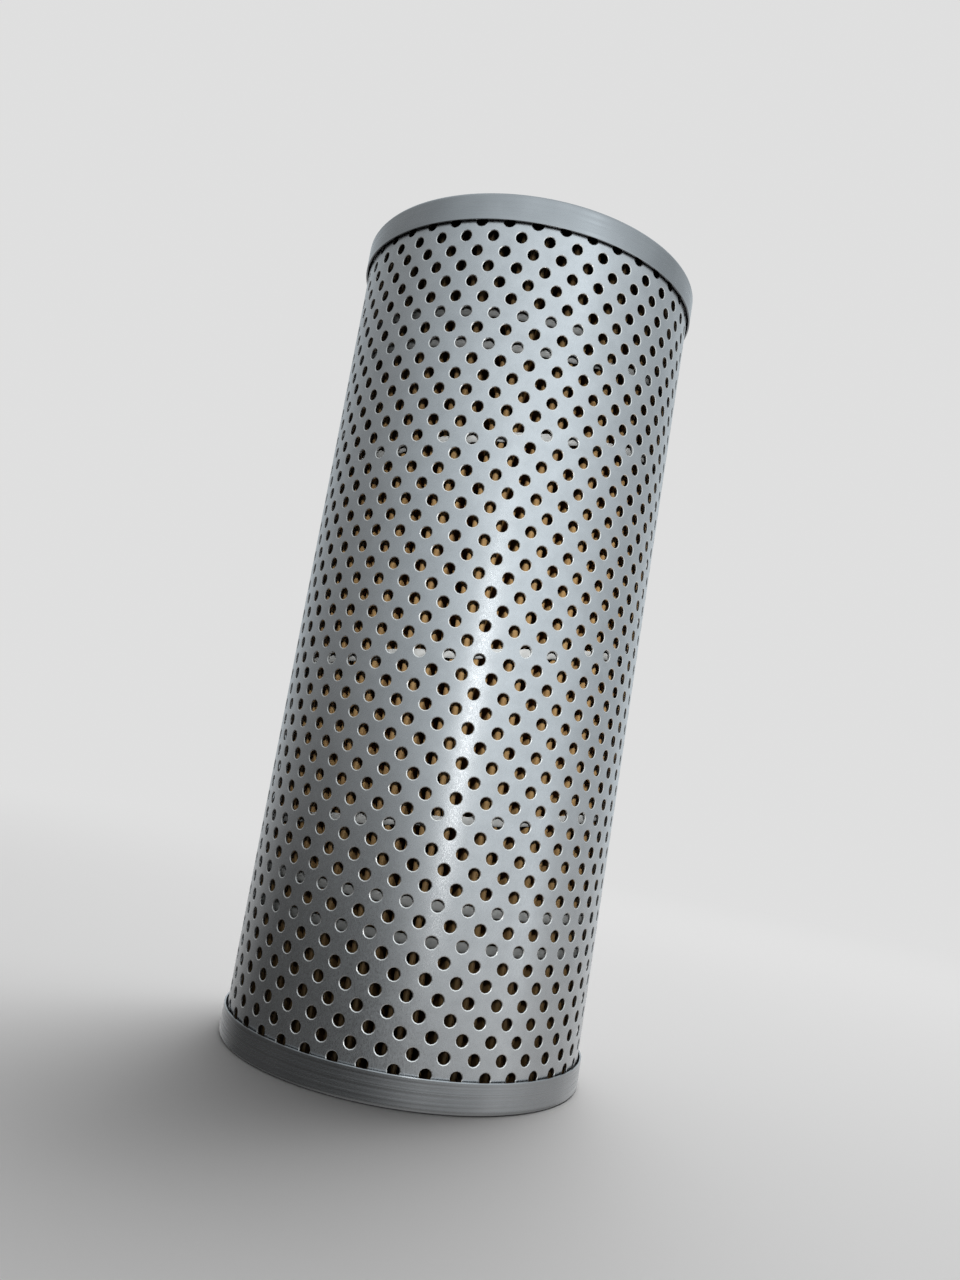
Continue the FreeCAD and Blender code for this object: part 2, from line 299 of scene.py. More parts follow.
# %% [markdown]
# The first and last rows end at plain margins, which are drawn out of the sheet's open
# edges and sit inside the caps. The two open rims are closed at the end, so the tube is one
# closed body.

# %% Draw out the plain margins and close the rims
def finish_ends(tube, foot, head):
    """Draws the open edges of a rolled sheet to the tube's two ends and closes the rims."""
    open_mesh(tube)
    heights = [v.co.z for v in tube.data.vertices]
    low, high = min(heights), max(heights)
    for edge_height, end in ((low, foot), (high, head)):
        pick("edges", lambda p: abs(p.z - edge_height) < TOUCHING)
        bpy.ops.mesh.extrude_edges_move(TRANSFORM_OT_translate={"value": (0, 0, end - edge_height)})
        pick("edges", lambda p: abs(p.z - end) < TOUCHING)
        bpy.ops.mesh.bridge_edge_loops()
    bpy.ops.mesh.select_all(action="SELECT")
    bpy.ops.mesh.normals_make_consistent(inside=False)
    close_mesh()


finish_ends(outer_tube, TUBE_FOOT, TUBE_HEAD)
print(f"outer tube: from {TUBE_FOOT / MM:.1f} to {TUBE_HEAD / MM:.1f} mm high")

# %% [markdown]
# The sheet's two long edges meet at the back, under a lap strip that is welded on. The
# strip is a flat bar with rounded long edges, bent to the tube's radius like the sheet
# itself, and turned to the back. It is joined to the tube, because the two are one piece.

# %% Add the lap strip at the back
LAP_WIDTH = 5.0 * MM
LAP_CLEARANCE = 0.02 * MM
LAP_ROUNDING = 0.3 * MM
LAP_CUTS = (-1.4, -0.7, 0.0, 0.7, 1.4)


def bend_round(piece, radius):
    """Bends a piece that lies along x round the z axis, its front face at a radius."""
    width = piece.dimensions.x
    bend = piece.modifiers.new("bend", "SIMPLE_DEFORM")
    bend.deform_method = "BEND"
    bend.deform_axis = "Z"
    bend.angle = width / radius
    apply_modifiers(piece)


let_go()
bpy.ops.mesh.primitive_cube_add(size=1)
lap = bpy.context.object
bpy.ops.object.mode_set(mode="EDIT")
bpy.ops.transform.resize(value=(LAP_WIDTH, SHEET - LAP_CLEARANCE, TUBE_HEAD - TUBE_FOOT),
                         center_override=(0, 0, 0))
bpy.ops.transform.translate(value=(0, (SHEET - LAP_CLEARANCE) / 2, (TUBE_HEAD + TUBE_FOOT) / 2))
pick("edges", lambda p: abs(p.z - ELEMENT_LENGTH / 2) < 1 * MM and p.y < TOUCHING)
bpy.ops.mesh.bevel(offset=LAP_ROUNDING, segments=3, affect="EDGES")
for cut in LAP_CUTS:
    bpy.ops.mesh.select_all(action="SELECT")
    bpy.ops.mesh.bisect(plane_co=(cut * MM, 0, 0), plane_no=(1, 0, 0))
close_mesh()
bend_round(lap, TUBE_RADIUS + SHEET)
open_mesh(lap)
bpy.ops.mesh.select_all(action="SELECT")
bpy.ops.transform.translate(value=(0, -TUBE_RADIUS - SHEET, 0))
bpy.ops.transform.rotate(value=math.pi, orient_axis="Z", center_override=(0, 0, 0))
close_mesh()
lap.select_set(True)
outer_tube.select_set(True)
bpy.context.view_layer.objects.active = outer_tube
bpy.ops.object.join()
settle(outer_tube, smooth_angle=20)
true_round_normals(outer_tube)
place(outer_tube, "outer_tube")

# %% [markdown]
# The inner tube carries the pleats on the inside. It has larger holes in fewer rows and is
# punched and rolled the same way.

# %% Roll the inner tube
CORE_HOLES_ROUND = 16
CORE_HOLE_ROWS = 17
CORE_ROW_STEP = 16.0 * MM
CORE_HOLE_RADIUS = 4.0 * MM
CORE_HOLE_RIM = 0.25 * MM
CORE_SHEET = CORE_RADIUS - CORE_BORE
core_step = 2 * math.pi * CORE_RADIUS / CORE_HOLES_ROUND
inner_tube = punched_brick(core_step, CORE_ROW_STEP, CORE_HOLE_RADIUS, CORE_HOLE_RIM, CORE_SHEET,
                           sides=16, edge_cuts=3)
inner_tube.name = "inner_perforated_tube"
core_first_row = ELEMENT_LENGTH / 2 - (CORE_HOLE_ROWS - 1) / 2 * CORE_ROW_STEP
roll_sheet(inner_tube, CORE_RADIUS, CORE_HOLES_ROUND, CORE_HOLE_ROWS, CORE_ROW_STEP, core_first_row)
finish_ends(inner_tube, TUBE_FOOT, TUBE_HEAD)
settle(inner_tube, smooth_angle=20)
true_round_normals(inner_tube)
place(inner_tube, "inner_tube")

# %% [markdown]
# The paper is one strip folded into about a hundred pleats. All folds are alike, so only
# half a fold is drawn as a line, from the middle of its crest down its leg to the middle of
# the valley, and mirrored. Its crest is round, as it shows behind the holes.

# %% Draw half a fold and mirror it
PLEATS = 101
PAPER = 0.7 * MM
CREST_ROUND = 1.0 * MM
CREST_CLEARANCE = 0.02 * MM
VALLEY_BEND = 0.25 * MM
VALLEY_HALFWAY = Vector((0.17, 0.07)) * MM
half_fold = math.pi / PLEATS
crest_middle = CREST_RADIUS - CREST_CLEARANCE - CREST_ROUND
valley_face = VALLEY_RADIUS + PAPER
let_go()
bpy.ops.mesh.primitive_circle_add(vertices=16, radius=CREST_ROUND)
paper = bpy.context.object
paper.name = "pleated_paper_pack"
bpy.ops.object.mode_set(mode="EDIT")
bpy.ops.transform.translate(value=(0, -crest_middle, 0))
pick("verts", lambda p: p.x < -TOUCHING or p.y > -crest_middle + TOUCHING)
bpy.ops.mesh.delete(type="VERT")
valley_x = valley_face * math.sin(half_fold)
leg_foot = Vector((valley_x - VALLEY_BEND, -valley_face - VALLEY_BEND, 0))
valley_side = Vector((valley_x - VALLEY_HALFWAY.x, -valley_face - VALLEY_HALFWAY.y, 0))
valley_end = Vector((valley_x, -valley_face * math.cos(half_fold), 0))
line_end = Vector((CREST_ROUND, -crest_middle, 0))
for target in (leg_foot, valley_side, valley_end):
    pick("verts", lambda p: (p - line_end).length < TOUCHING)
    bpy.ops.mesh.extrude_vertices_move(TRANSFORM_OT_translate={"value": target - line_end})
    line_end = target
close_mesh()
mirror = paper.modifiers.new("mirror", "MIRROR")
mirror.merge_threshold = TOUCHING
apply_modifiers(paper)
print(f"one fold: {len(paper.data.vertices)} points")

# %% [markdown]
# Spin repeats the fold round the axis and the copies are joined where they meet. The closed
# line is raised to the paper's height, and a Solidify modifier gives the paper its
# thickness.

# %% Repeat the fold round the axis, raise it and thicken it
PAPER_STEPS = 8
open_mesh(paper)
bpy.ops.mesh.select_all(action="SELECT")
bpy.ops.mesh.spin(steps=PLEATS - 1, dupli=True, angle=2 * math.pi * (PLEATS - 1) / PLEATS,
                  center=(0, 0, 0), axis=(0, 0, 1))
bpy.ops.mesh.select_all(action="SELECT")
bpy.ops.mesh.remove_doubles(threshold=2 * TOUCHING)
bpy.ops.transform.translate(value=(0, 0, PAPER_FOOT))
rise = (PAPER_HEAD - PAPER_FOOT) / PAPER_STEPS
for step in range(PAPER_STEPS):
    bpy.ops.mesh.extrude_edges_move(TRANSFORM_OT_translate={"value": (0, 0, rise)})
bpy.ops.mesh.select_all(action="SELECT")
bpy.ops.mesh.normals_make_consistent(inside=False)
close_mesh()
thicken = paper.modifiers.new("paper", "SOLIDIFY")
thicken.thickness = PAPER
thicken.offset = -1
thicken.use_even_offset = True
apply_modifiers(paper)
settle(paper, smooth_angle=60)
place(paper, "pleated_paper")

# %% [markdown]
# One thread of adhesive runs round the crests and keeps the pleats apart. It makes two
# close turns at each end and an open climb between. It could be a helix from a Screw
# modifier, but its climb is uneven, so it is drawn as a curve, whose line is worked out
# from the heights at a few stations.

# %% Lay the adhesive thread
BEAD_RADIUS = TUBE_BORE - 1.15 * MM
CREST_DIP = 0.12 * MM
LOW_TURN = 49.1 * MM
TURN_GAP = 11.3 * MM
HIGH_TURN = ELEMENT_LENGTH - 42.3 * MM
CLIMB = HIGH_TURN - LOW_TURN - 2 * TURN_GAP
STATIONS = [(-0.5, LOW_TURN), (0.44, LOW_TURN), (0.60, LOW_TURN + TURN_GAP), (1.53, LOW_TURN + TURN_GAP)]
for turns, share in ((2.0, 0.14), (3.0, 0.43), (4.0, 0.83), (4.47, 1.0)):
    STATIONS.append((turns, LOW_TURN + TURN_GAP + share * CLIMB))
STATIONS += [(5.05, HIGH_TURN - TURN_GAP), (5.21, HIGH_TURN), (6.06, HIGH_TURN)]


def station_height(turns):
    """Height on the straight line between the stations before and after."""
    for (t0, h0), (t1, h1) in zip(STATIONS, STATIONS[1:]):
        if turns <= t1:
            return h0 + (h1 - h0) * max(turns - t0, 0) / (t1 - t0)
    return STATIONS[-1][1]


def thread_height(turns):
    """The stations' line with its corners eased, as a soft thread lies."""
    spread = (-0.04, -0.02, 0.0, 0.02, 0.04)
    return sum(station_height(turns + d) for d in spread) / len(spread)


THREAD_POINTS_PER_TURN = 200
first_turn, last_turn = STATIONS[0][0], STATIONS[-1][0]
point_count = round((last_turn - first_turn) * THREAD_POINTS_PER_TURN)
thread_curve = bpy.data.curves.new("adhesive_thread", "CURVE")
thread_curve.dimensions = "3D"
thread_curve.twist_mode = "Z_UP"
line = thread_curve.splines.new("POLY")
line.points.add(point_count)
for n, point in enumerate(line.points):
    turns = first_turn + (last_turn - first_turn) * n / point_count
    front = 2 * math.pi * turns
    over_crest = math.cos(PLEATS * front)
    radius = BEAD_RADIUS - CREST_DIP * over_crest
    point.co = (radius * math.sin(front), -radius * math.cos(front), thread_height(turns), 1)
    point.radius = 1 + 0.06 * over_crest + 0.05 * math.sin(7.3 * front)
print(f"thread: {point_count + 1} points over {last_turn - first_turn:.2f} turns")

# %% [markdown]
# The thread was pressed flat while it was soft. A second curve, a flat oval, is the section
# that the line carries along. The curve is then turned into a mesh with closed ends.

# %% Give the thread its section
THREAD_HALF_DEPTH = 0.45 * MM
THREAD_HALF_WIDTH = 1.55 * MM
let_go()
bpy.ops.curve.primitive_bezier_circle_add(radius=1)
section = bpy.context.object
section.name = "thread_section"
section.scale = (THREAD_HALF_DEPTH, THREAD_HALF_WIDTH, 1)
bpy.ops.object.transform_apply(scale=True)
section.data.resolution_u = 3
thread_curve.bevel_mode = "OBJECT"
thread_curve.bevel_object = section
thread_curve.use_fill_caps = True
thread = bpy.data.objects.new("adhesive_thread", thread_curve)
bpy.context.scene.collection.objects.link(thread)
let_go()
thread.select_set(True)
bpy.context.view_layer.objects.active = thread
bpy.ops.object.convert(target="MESH")
bpy.data.objects.remove(section)
open_mesh(thread)
bpy.ops.mesh.select_all(action="SELECT")
bpy.ops.mesh.remove_doubles(threshold=TOUCHING / 10)
bpy.ops.mesh.normals_make_consistent(inside=False)
close_mesh()
settle(thread, smooth_angle=60)
place(thread, "adhesive_bead")

# %% [markdown]
# The end caps are pressed cups: a skirt round the tube, a flat ring, and a neck drawn
# inwards for the seal. A circle is raised ring by ring along the outer face, the two bends
# are bevelled round, and Solidify gives the sheet its thickness. A ring close to each bend
# keeps the bend's shading off the straight faces. The top cap is the bottom one turned over.

# %% Press the end caps
ROUND_STEPS = 240
CAP_SHEET = 0.6 * MM
NECK_BORE = SEAL_BORE + 5.0 * MM
NECK_HEIGHT = 9.0 * MM
SKIRT_BEND = 1.2 * MM
NECK_BEND = 1.0 * MM
BEND_GUARD = 0.4 * MM


def raise_rings(name, rings, steps=ROUND_STEPS):
    """A round surface drawn ring by ring through (radius, height) pairs, left open for editing."""
    let_go()
    bpy.ops.mesh.primitive_circle_add(vertices=steps, radius=rings[0][0])
    piece = bpy.context.object
    piece.name = name
    bpy.ops.object.mode_set(mode="EDIT")
    bpy.ops.transform.translate(value=(0, 0, rings[0][1]))
    for (r0, z0), (r1, z1) in zip(rings, rings[1:]):
        bpy.ops.mesh.extrude_edges_move(TRANSFORM_OT_translate={"value": (0, 0, z1 - z0)})
        if r1 != r0:
            bpy.ops.transform.resize(value=(r1 / r0, r1 / r0, 1), center_override=(0, 0, 0))
    return piece


def near_ring(radius, height):
    """A test for edges that lie on one ring."""
    return lambda p: abs(math.hypot(p.x, p.y) - radius) < 0.2 * MM and abs(p.z - height) < TOUCHING


def press_cap():
    """The bottom cap as a surface through its outer face, bent round and thickened."""
    beside_skirt = SKIRT_BEND + BEND_GUARD
    beside_neck = NECK_BEND + BEND_GUARD
    cap = raise_rings("bottom_pressed_cap", [
        (CAP_RADIUS, SKIRT_HEIGHT), (CAP_RADIUS, SKIRT_HEIGHT - BEND_GUARD), (CAP_RADIUS, beside_skirt),
        (CAP_RADIUS, 0), (CAP_RADIUS - beside_skirt, 0), (NECK_BORE + beside_neck, 0),
        (NECK_BORE, 0), (NECK_BORE, beside_neck), (NECK_BORE, NECK_HEIGHT)])
    bpy.ops.mesh.select_all(action="SELECT")
    bpy.ops.mesh.normals_make_consistent(inside=False)
    for radius, bend in ((CAP_RADIUS, SKIRT_BEND), (NECK_BORE, NECK_BEND)):
        pick("edges", near_ring(radius, 0))
        bpy.ops.mesh.bevel(offset=bend, segments=6, affect="EDGES", profile=0.5)
    close_mesh()
    sheet = cap.modifiers.new("sheet", "SOLIDIFY")
    sheet.thickness = CAP_SHEET
    sheet.offset = -1
    sheet.use_even_offset = True
    rim = cap.modifiers.new("rim", "BEVEL")
    rim.width = 0.12 * MM
    rim.segments = 2
    rim.limit_method = "ANGLE"
    rim.angle_limit = math.radians(60)
    apply_modifiers(cap)
    return cap


def turned_over(piece, name):
    """A copy of a bottom piece with its own mesh, turned over to the top end."""
    let_go()
    piece.select_set(True)
    bpy.context.view_layer.objects.active = piece
    bpy.ops.object.duplicate()
    copy = bpy.context.object
    copy.name = name
    open_mesh(copy)
    bpy.ops.mesh.select_all(action="SELECT")
    bpy.ops.transform.rotate(value=math.pi, orient_axis="X", center_override=(0, 0, 0))
    bpy.ops.transform.translate(value=(0, 0, ELEMENT_LENGTH))
    close_mesh()
    return copy


bottom_cap = settle(press_cap(), smooth_angle=35)
top_cap = settle(turned_over(bottom_cap, "top_pressed_cap"), smooth_angle=35)
place(bottom_cap, "bottom_end_cap")
place(top_cap, "top_end_cap")

# %% [markdown]
# A moulded rubber ring sits in each neck and hooks over its edge. Its section is raised
# ring by ring like the caps, closed back to its first ring, and its corners are rounded.

# %% Mould the seals
SEAL_INSET = 0.2 * MM
SEAL_LEAD = 2.0 * MM
HOOK_HEIGHT = NECK_HEIGHT + 1.5 * MM
NECK_RADIUS = NECK_BORE + CAP_SHEET
seal_section = [
    (SEAL_BORE + SEAL_LEAD, SEAL_INSET), (NECK_BORE - 0.05 * MM, SEAL_INSET + 0.9 * MM),
    (NECK_BORE - 0.02 * MM, NECK_HEIGHT + 0.02 * MM), (NECK_RADIUS, NECK_HEIGHT + 0.02 * MM),
    (NECK_RADIUS, HOOK_HEIGHT), (SEAL_BORE, HOOK_HEIGHT), (SEAL_BORE, SEAL_INSET + SEAL_LEAD)]
bottom_seal = raise_rings("bottom_moulded_seal", seal_section)
bpy.ops.mesh.select_mode(type="EDGE")
bpy.ops.mesh.select_all(action="DESELECT")
bpy.ops.mesh.select_non_manifold()
bpy.ops.mesh.bridge_edge_loops()
bpy.ops.mesh.select_all(action="SELECT")
bpy.ops.mesh.normals_make_consistent(inside=False)
close_mesh()
soften = bottom_seal.modifiers.new("soften", "BEVEL")
soften.width = 0.35 * MM
soften.segments = 3
soften.limit_method = "ANGLE"
soften.angle_limit = math.radians(30)
apply_modifiers(bottom_seal)
settle(bottom_seal, smooth_angle=35)
top_seal = settle(turned_over(bottom_seal, "top_moulded_seal"), smooth_angle=35)
place(bottom_seal, "bottom_seal")
place(top_seal, "top_seal")

# %% [markdown]
# Every finish is made of nodes that read Object coordinates, which are metres here, so a
# noise of scale 1000 has grains of about a millimetre. A small helper gives each material
# its shader and a place to hang patterns on, and each finish adds its own.

# %% Helpers for finishes
def new_finish(name, metallic, roughness):
    """A material with its own shader, whose even values are set on the shader itself."""
    material = bpy.data.materials.new(name)
    material.use_nodes = True
    shader = material.node_tree.nodes["Principled BSDF"]
    shader.inputs["Metallic"].default_value = metallic
    shader.inputs["Roughness"].default_value = roughness
    return material, shader


def add_node(material, kind, **settings):
    """A node of a material, with its plain settings filled in."""
    node = material.node_tree.nodes.new(kind)
    for key, value in settings.items():
        setattr(node, key, value)
    return node


def join(material, source, target):
    """Links one node's output socket to another's input socket."""
    material.node_tree.links.new(source, target)


def stretched_noise(material, scale, stretch=(1, 1, 1), detail=3.0, roughness=0.5):
    """Noise on Object coordinates, stretched by a scale along each axis."""
    place_node = add_node(material, "ShaderNodeTexCoord")
    mapping = add_node(material, "ShaderNodeMapping")
    mapping.inputs["Scale"].default_value = stretch
    noise = add_node(material, "ShaderNodeTexNoise")
    noise.inputs["Scale"].default_value = scale
    noise.inputs["Detail"].default_value = detail
    noise.inputs["Roughness"].default_value = roughness
    join(material, place_node.outputs["Object"], mapping.inputs["Vector"])
    join(material, mapping.outputs["Vector"], noise.inputs["Vector"])
    return noise


def ramp(material, source, stops, target):
    """Turns a pattern's value into colours or greys by stops of (place, colour)."""
    node = add_node(material, "ShaderNodeValToRGB")
    while len(node.color_ramp.elements) < len(stops):
        node.color_ramp.elements.new(0.5)
    for element, (position, colour) in zip(node.color_ramp.elements, stops):
        element.position = position
        element.color = (*colour, 1) if len(colour) == 3 else (colour[0],) * 3 + (1,)
    join(material, source, node.inputs["Fac"])
    join(material, node.outputs["Color"], target)
    return node


def add_bump(material, shader, source, strength, distance):
    """Raises a pattern a little, by a distance in metres."""
    bump = add_node(material, "ShaderNodeBump")
    bump.inputs["Strength"].default_value = strength
    bump.inputs["Distance"].default_value = distance
    join(material, source, bump.inputs["Height"])
    join(material, bump.outputs["Normal"], shader.inputs["Normal"])
    return bump


def dress(piece, material):
    """Gives all of a piece one finish."""
    piece.data.materials.clear()
    piece.data.materials.append(material)
    print(f"{piece.name}: {material.name}, {len(material.node_tree.nodes)} nodes")


# %% [markdown]
# The tubes are plated cold rolled sheet: a satin metal with a faint mottle and fine marks
# from rolling. The colour of a metal is what it reflects, so the base is a light blue grey
# and the roughness varies a little, which makes the highlight break up as it does on sheet.

# %% Finish the tubes
tube_steel, shader = new_finish("tube_steel", metallic=1.0, roughness=0.36)
mottle = stretched_noise(tube_steel, 160.0, detail=9.0, roughness=0.72)
# The rim faces are painted near white and a little less metallic: partly the burnished punched edge, partly
# a painted highlight where light catches the rim.
sheet_colour_and_painted_rim = add_node(tube_steel, "ShaderNodeMix", data_type="RGBA")
rim = add_node(tube_steel, "ShaderNodeAttribute", attribute_name="rim")
ramp(tube_steel, mottle.outputs["Fac"], [(0.25, (0.53, 0.54, 0.55)), (0.75, (0.66, 0.67, 0.68))],
     sheet_colour_and_painted_rim.inputs["A"])
sheet_colour_and_painted_rim.inputs["B"].default_value = (0.90, 0.88, 0.85, 1)
join(tube_steel, rim.outputs["Fac"], sheet_colour_and_painted_rim.inputs["Factor"])
join(tube_steel, sheet_colour_and_painted_rim.outputs["Result"], shader.inputs["Base Color"])
grain = stretched_noise(tube_steel, 2600.0, stretch=(1, 1, 0.5), detail=3.0, roughness=0.6)
ramp(tube_steel, grain.outputs["Fac"], [(0.3, (0.22,)), (0.75, (0.36,))], shader.inputs["Roughness"])
less_metal = add_node(tube_steel, "ShaderNodeMath", operation="MULTIPLY_ADD")
less_metal.inputs[1].default_value = -0.08
less_metal.inputs[2].default_value = 1.0
join(tube_steel, rim.outputs["Fac"], less_metal.inputs[0])
join(tube_steel, less_metal.outputs["Value"], shader.inputs["Metallic"])
add_bump(tube_steel, shader, grain.outputs["Fac"], 0.35, 0.015 * MM)
dress(outer_tube, tube_steel)

core_steel, shader = new_finish("core_steel", metallic=1.0, roughness=0.45)
spangle = add_node(core_steel, "ShaderNodeTexVoronoi")
spangle.inputs["Scale"].default_value = 260.0
join(core_steel, add_node(core_steel, "ShaderNodeTexCoord").outputs["Object"], spangle.inputs["Vector"])
ramp(core_steel, spangle.outputs["Color"], [(0.2, (0.40, 0.41, 0.42)), (0.8, (0.54, 0.55, 0.56))],
     shader.inputs["Base Color"])
dress(inner_tube, core_steel)

# %% [markdown]
# The caps are pressed from duller sheet. Drawing and turning leave fine lines that run
# round the cap: on the skirt they are lines of one height, on the flat ring lines of one
# radius. A pattern on radius and height gives both.

# %% Finish the end caps
cap_steel, shader = new_finish("cap_steel", metallic=0.9, roughness=0.4)
place_node = add_node(cap_steel, "ShaderNodeTexCoord")
parts = add_node(cap_steel, "ShaderNodeSeparateXYZ")
join(cap_steel, place_node.outputs["Object"], parts.inputs["Vector"])
flat = add_node(cap_steel, "ShaderNodeCombineXYZ")
join(cap_steel, parts.outputs["X"], flat.inputs["X"])
join(cap_steel, parts.outputs["Y"], flat.inputs["Y"])
length = add_node(cap_steel, "ShaderNodeVectorMath", operation="LENGTH")
join(cap_steel, flat.outputs["Vector"], length.inputs[0])
across = add_node(cap_steel, "ShaderNodeMath", operation="ADD")
join(cap_steel, length.outputs["Value"], across.inputs[0])
join(cap_steel, parts.outputs["Z"], across.inputs[1])
ring_lines = add_node(cap_steel, "ShaderNodeTexNoise", noise_dimensions="1D")
ring_lines.inputs["Scale"].default_value = 900.0
ring_lines.inputs["Detail"].default_value = 4.0
join(cap_steel, across.outputs["Value"], ring_lines.inputs["W"])
blotches = stretched_noise(cap_steel, 60.0, detail=4.0)
ramp(cap_steel, blotches.outputs["Fac"], [(0.3, (0.42, 0.43, 0.44)), (0.7, (0.50, 0.51, 0.52))],
     shader.inputs["Base Color"])
ramp(cap_steel, ring_lines.outputs["Fac"], [(0.3, (0.18,)), (0.7, (0.32,))], shader.inputs["Roughness"])
add_bump(cap_steel, shader, ring_lines.outputs["Fac"], 0.35, 0.04 * MM)
for cap in (bottom_cap, top_cap):
    dress(cap, cap_steel)

# %% [markdown]
# The paper is soaked with resin and cured, which turns it tan and gives it a dull sheen.
# The thread is a pale melted adhesive, the seals are black rubber, and the ends are cast in
# a dark adhesive. The clip that closes the paper is plain steel.

# %% Finish the paper, the thread, the seals and the cast ends
resin_paper, shader = new_finish("resin_paper", metallic=0.0, roughness=0.5)
fibres = stretched_noise(resin_paper, 700.0, stretch=(1, 1, 0.4), detail=6.0, roughness=0.65)
ramp(resin_paper, fibres.outputs["Fac"], [(0.3, (0.27, 0.155, 0.065)), (0.7, (0.43, 0.28, 0.12))],
     shader.inputs["Base Color"])
add_bump(resin_paper, shader, fibres.outputs["Fac"], 0.25, 0.05 * MM)
dress(paper, resin_paper)

bead_adhesive, shader = new_finish("bead_adhesive", metallic=0.0, roughness=0.5)
cloud = stretched_noise(bead_adhesive, 350.0, detail=3.0)
ramp(bead_adhesive, cloud.outputs["Fac"], [(0.3, (0.45, 0.46, 0.45)), (0.7, (0.64, 0.65, 0.64))],
     shader.inputs["Base Color"])
dress(thread, bead_adhesive)

seal_rubber, shader = new_finish("seal_rubber", metallic=0.0, roughness=0.55)
bloom = stretched_noise(seal_rubber, 300.0, detail=4.0)
ramp(seal_rubber, bloom.outputs["Fac"], [(0.35, (0.012, 0.012, 0.013)), (0.75, (0.030, 0.030, 0.032))],
     shader.inputs["Base Color"])
add_bump(seal_rubber, shader, bloom.outputs["Fac"], 0.1, 0.05 * MM)
for seal in (bottom_seal, top_seal):
    dress(seal, seal_rubber)

potting_adhesive, shader = new_finish("potting_adhesive", metallic=0.0, roughness=0.5)
pour = stretched_noise(potting_adhesive, 90.0, detail=3.0)
ramp(potting_adhesive, pour.outputs["Fac"], [(0.3, (0.16, 0.15, 0.14)), (0.7, (0.24, 0.23, 0.22))],
     shader.inputs["Base Color"])
for end in ("bottom", "top"):
    dress(nodes[end + "_potting"], potting_adhesive)

clip_steel, shader = new_finish("clip_steel", metallic=1.0, roughness=0.4)
rolled = stretched_noise(clip_steel, 600.0, stretch=(1, 1, 0.1), detail=3.0)
ramp(clip_steel, rolled.outputs["Fac"], [(0.3, (0.42, 0.43, 0.44)), (0.7, (0.56, 0.57, 0.58))],
     shader.inputs["Base Color"])
dress(nodes["pleat_clip"], clip_steel)

# %% [markdown]
# The camera stands where the photograph was taken from. Its place and turn were fitted to
# the holes of the tube, and are given as its right, up and back directions.

# %% Set the camera
camera_data = bpy.data.cameras.new("camera")
camera_data.lens = 28.16
camera_data.sensor_width = 36
camera = bpy.data.objects.new("camera", camera_data)
bpy.context.scene.collection.objects.link(camera)
right = Vector((0.9859, -0.0202, 0.1659))
up = Vector((-0.1671, -0.1317, 0.9771))
back = Vector((0.0021, -0.9911, -0.1332))
turn = Matrix((right, up, back)).transposed().to_4x4()
camera.matrix_world = Matrix.Translation((0.0047, -0.3815, 0.1020)) @ turn
bpy.context.scene.camera = camera
print(f"camera: a lens of {camera_data.lens} mm, {camera.location.length:.3f} m from the origin")
bpy.context.scene.view_settings.view_transform = "Standard"

# %% [markdown]
# A wide pale floor stands for the table. Close to the object it is a plain matt surface
# that takes the object's shadow, and further out it fades into the pale surround, so that
# no edge shows. What the metal mirrors is the room, not the floor under it.

# %% Lay the floor
PALE = 0.74
FADE_START, FADE_END = 0.30, 0.95
let_go()
bpy.ops.mesh.primitive_plane_add(size=40, location=(0, 0, 0))
floor = bpy.context.object
floor.name = "floor"
floor.visible_glossy = False
floor.visible_diffuse = False
floor_paint, shader = new_finish("floor_paint", metallic=0.0, roughness=0.9)
shader.inputs["Base Color"].default_value = (0.84, 0.84, 0.84, 1)
shader.inputs["Specular IOR Level"].default_value = 0.0
reach = add_node(floor_paint, "ShaderNodeVectorMath", operation="LENGTH")
join(floor_paint, add_node(floor_paint, "ShaderNodeTexCoord").outputs["Object"], reach.inputs[0])
fade = add_node(floor_paint, "ShaderNodeMapRange", interpolation_type="SMOOTHSTEP")
fade.inputs["From Min"].default_value = FADE_START
fade.inputs["From Max"].default_value = FADE_END
join(floor_paint, reach.outputs["Value"], fade.inputs["Value"])
seen = add_node(floor_paint, "ShaderNodeMath", operation="MULTIPLY")
join(floor_paint, fade.outputs["Result"], seen.inputs[0])
join(floor_paint, add_node(floor_paint, "ShaderNodeLightPath").outputs["Is Camera Ray"], seen.inputs[1])
haze = add_node(floor_paint, "ShaderNodeEmission")
haze.inputs["Color"].default_value = (PALE, PALE, PALE, 1)
blend = add_node(floor_paint, "ShaderNodeMixShader")
join(floor_paint, seen.outputs["Value"], blend.inputs["Fac"])
join(floor_paint, shader.outputs["BSDF"], blend.inputs[1])
join(floor_paint, haze.outputs["Emission"], blend.inputs[2])
join(floor_paint, blend.outputs["Shader"], floor_paint.node_tree.nodes["Material Output"].inputs["Surface"])
dress(floor, floor_paint)

# %% [markdown]
# A metal is the colour of what it mirrors, so the room that it mirrors matters as much as
# its finish. That room is pale at the back, brightest at the front right, like a window,
# and dim on the left and low in front. This difference is what shapes a metal cylinder. It
# is made of a few broad glows and two small gleams, each strongest towards one direction,
# and is a little bluer the higher and brighter it is.

# %% Make the room that the metal mirrors
world = bpy.data.worlds.new("studio")
bpy.context.scene.world = world
world.use_nodes = True
room = world.node_tree
direction = room.nodes.new("ShaderNodeTexCoord").outputs["Generated"]


def room_math(operation, *values):
    """A Math node of the world that takes sockets or plain numbers."""
    node = room.nodes.new("ShaderNodeMath")
    node.operation = operation
    for socket, value in zip(node.inputs, values):
        if isinstance(value, (int, float)):
            socket.default_value = value
        else:
            room.links.new(value, socket)
    return node.outputs["Value"]


